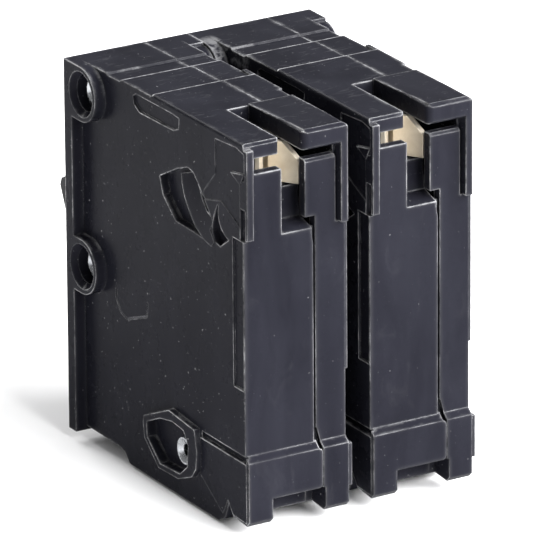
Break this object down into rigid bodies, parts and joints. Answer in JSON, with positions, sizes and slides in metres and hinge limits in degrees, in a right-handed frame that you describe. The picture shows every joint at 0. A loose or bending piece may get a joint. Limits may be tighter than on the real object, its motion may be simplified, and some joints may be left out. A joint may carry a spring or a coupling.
{
  "type": "ground-fault circuit breaker",
  "caption": "Two-pole plug-in ground-fault breaker: twin black moulded cases riveted side by side, tied toggle handles, rear stab jaws, rail-hook feet and a test button.",
  "frame": {"origin": "midway between the two poles, at the panel-side plane of the feet and at the level of the load-end face it stands on", "axes": "+X towards the near pole, -Y towards the handles, +Y towards the panel, +Z towards the line end with the jaws"},
  "size_m": [0.0517, 0.077, 0.0738],
  "materials": {
    "black_case": "moulded black thermoset, slightly glossy with pale worn edges",
    "handle_plastic": "smooth moulded black",
    "tinned_copper": "tinned copper, warm and dull",
    "silver": "silver contact alloy",
    "steel": "zinc-plated steel",
    "rivet_steel": "bright plated rivet",
    "bimetal": "laminated bimetal strip",
    "braid_copper": "bare copper braid",
    "lug_metal": "tin-plated aluminium",
    "fibre": "vulcanised fibre",
    "ferrite": "ferrite core",
    "winding": "enamelled wire under varnish",
    "wire_cover": "wire insulation",
    "board": "coated circuit board",
    "components": "moulded component bodies",
    "button_plastic": "smooth pale button",
    "rubber": "soft grommet",
    "spring_steel": "spring wire"
  },
  "bodies": {
    "case": {"case_base_a": "black_case", "case_cover_a": "black_case", "line_jaw_a": "tinned_copper", "fixed_contact_a": "silver", "arm_pin_a": "steel", "cradle_pin_a": "steel", "toggle_spring_a": "spring_steel", "bimetal_a": "bimetal", "magnet_yoke_a": "steel", "calibration_screw_a": "steel", "braid_a": "braid_copper", "arc_frame_a": "fibre", "arc_plates_a": "steel", "load_lug_a": "lug_metal", "load_wire_a": "wire_cover", "case_base_b": "black_case", "case_cover_b": "black_case", "line_jaw_b": "tinned_copper", "fixed_contact_b": "silver", "arm_pin_b": "steel", "cradle_pin_b": "steel", "toggle_spring_b": "spring_steel", "bimetal_b": "bimetal", "magnet_yoke_b": "steel", "calibration_screw_b": "steel", "braid_b": "braid_copper", "arc_frame_b": "fibre", "arc_plates_b": "steel", "load_lug_b": "lug_metal", "load_wire_b": "wire_cover", "rivets": "rivet_steel", "sensor_core": "ferrite", "sensor_winding": "winding", "circuit_board": "board", "board_parts": "components", "solenoid_frame": "steel", "solenoid_coil": "winding", "plunger_spring": "spring_steel", "test_contact": "tinned_copper", "lead_outlet": "rubber"},
    "handles": {"handle_a": "handle_plastic", "handle_b": "handle_plastic", "handle_tie": "steel"},
    "trip_bar": {"trip_bar": "handle_plastic"},
    "plunger": {"plunger": "steel"},
    "test_button": {"test_button": "button_plastic"},
    "contact_arm_a": {"contact_arm_a": "tinned_copper", "moving_contact_a": "silver"},
    "cradle_a": {"cradle_a": "steel"},
    "armature_a": {"armature_a": "steel"},
    "wire_clamp_a": {"wire_clamp_a": "steel"},
    "terminal_screw_a": {"terminal_screw_a": "steel"},
    "contact_arm_b": {"contact_arm_b": "tinned_copper", "moving_contact_b": "silver"},
    "cradle_b": {"cradle_b": "steel"},
    "armature_b": {"armature_b": "steel"},
    "wire_clamp_b": {"wire_clamp_b": "steel"},
    "terminal_screw_b": {"terminal_screw_b": "steel"}
  },
  "joints": [
    {"name": "handle_throw", "type": "hinge", "parent": "case", "child": "handles", "pos_m": [0, -0.05, 0.0506], "axis": [-1, 0, 0], "range_deg": [0, 47.2]},
    {"name": "trip_bar_turn", "type": "hinge", "parent": "case", "child": "trip_bar", "pos_m": [0, -0.0155, 0.017], "axis": [-1, 0, 0], "range_deg": [0, 8], "stiffness_Nm_per_rad": 0.02, "springref_deg": -5.73},
    {"name": "plunger_slide", "type": "slide", "parent": "case", "child": "plunger", "axis": [0, 1, 0], "range_m": [0, 0.0018], "stiffness_N_per_m": 150, "springref_m": -0.001, "deforming": ["plunger_spring"]},
    {"name": "test_button_press", "type": "slide", "parent": "case", "child": "test_button", "axis": [0, 1, 0], "range_m": [0, 0.0015], "stiffness_N_per_m": 600, "springref_m": -0.0005, "deforming": ["test_contact"]},
    {"name": "arm_close_a", "type": "hinge", "parent": "case", "child": "contact_arm_a", "pos_m": [0.0132, -0.036, 0.034], "axis": [-1, 0, 0], "range_deg": [0, 17], "deforming": ["toggle_spring_a", "braid_a"]},
    {"name": "cradle_drop_a", "type": "hinge", "parent": "case", "child": "cradle_a", "pos_m": [0.0162, -0.0285, 0.036], "axis": [-1, 0, 0], "range_deg": [0, 14]},
    {"name": "armature_pull_a", "type": "hinge", "parent": "case", "child": "armature_a", "pos_m": [0.0132, -0.012, 0.041], "axis": [1, 0, 0], "range_deg": [0, 3.5]},
    {"name": "clamp_slide_a", "type": "slide", "parent": "case", "child": "wire_clamp_a", "axis": [0, 1, 0], "range_m": [0, 0.00448]},
    {"name": "screw_turn_a", "type": "hinge", "parent": "wire_clamp_a", "child": "terminal_screw_a", "pos_m": [0.0135, -0.055, 0.0102], "axis": [0, 1, 0], "range_deg": [0, 2016]},
    {"name": "arm_close_b", "type": "hinge", "parent": "case", "child": "contact_arm_b", "pos_m": [-0.0122, -0.036, 0.034], "axis": [-1, 0, 0], "range_deg": [0, 17], "deforming": ["toggle_spring_b", "braid_b"]},
    {"name": "cradle_drop_b", "type": "hinge", "parent": "case", "child": "cradle_b", "pos_m": [-0.0092, -0.0285, 0.036], "axis": [-1, 0, 0], "range_deg": [0, 14]},
    {"name": "armature_pull_b", "type": "hinge", "parent": "case", "child": "armature_b", "pos_m": [-0.0122, -0.012, 0.041], "axis": [1, 0, 0], "range_deg": [0, 3.5]},
    {"name": "clamp_slide_b", "type": "slide", "parent": "case", "child": "wire_clamp_b", "axis": [0, 1, 0], "range_m": [0, 0.00448]},
    {"name": "screw_turn_b", "type": "hinge", "parent": "wire_clamp_b", "child": "terminal_screw_b", "pos_m": [-0.0119, -0.055, 0.0102], "axis": [0, 1, 0], "range_deg": [0, 2016]}
  ],
  "couplings": [
    {"joint": "arm_close_a", "follows": "handle_throw", "ratio": 0.36017},
    {"joint": "cradle_drop_a", "follows": "trip_bar_turn", "ratio": 1.75},
    {"joint": "armature_pull_a", "follows": "trip_bar_turn", "ratio": 0.4375},
    {"joint": "screw_turn_a", "follows": "clamp_slide_a", "rad_per_m": 7854},
    {"joint": "arm_close_b", "follows": "handle_throw", "ratio": 0.36017},
    {"joint": "cradle_drop_b", "follows": "trip_bar_turn", "ratio": 1.75},
    {"joint": "armature_pull_b", "follows": "trip_bar_turn", "ratio": 0.4375},
    {"joint": "screw_turn_b", "follows": "clamp_slide_b", "rad_per_m": 7854}
  ]
}
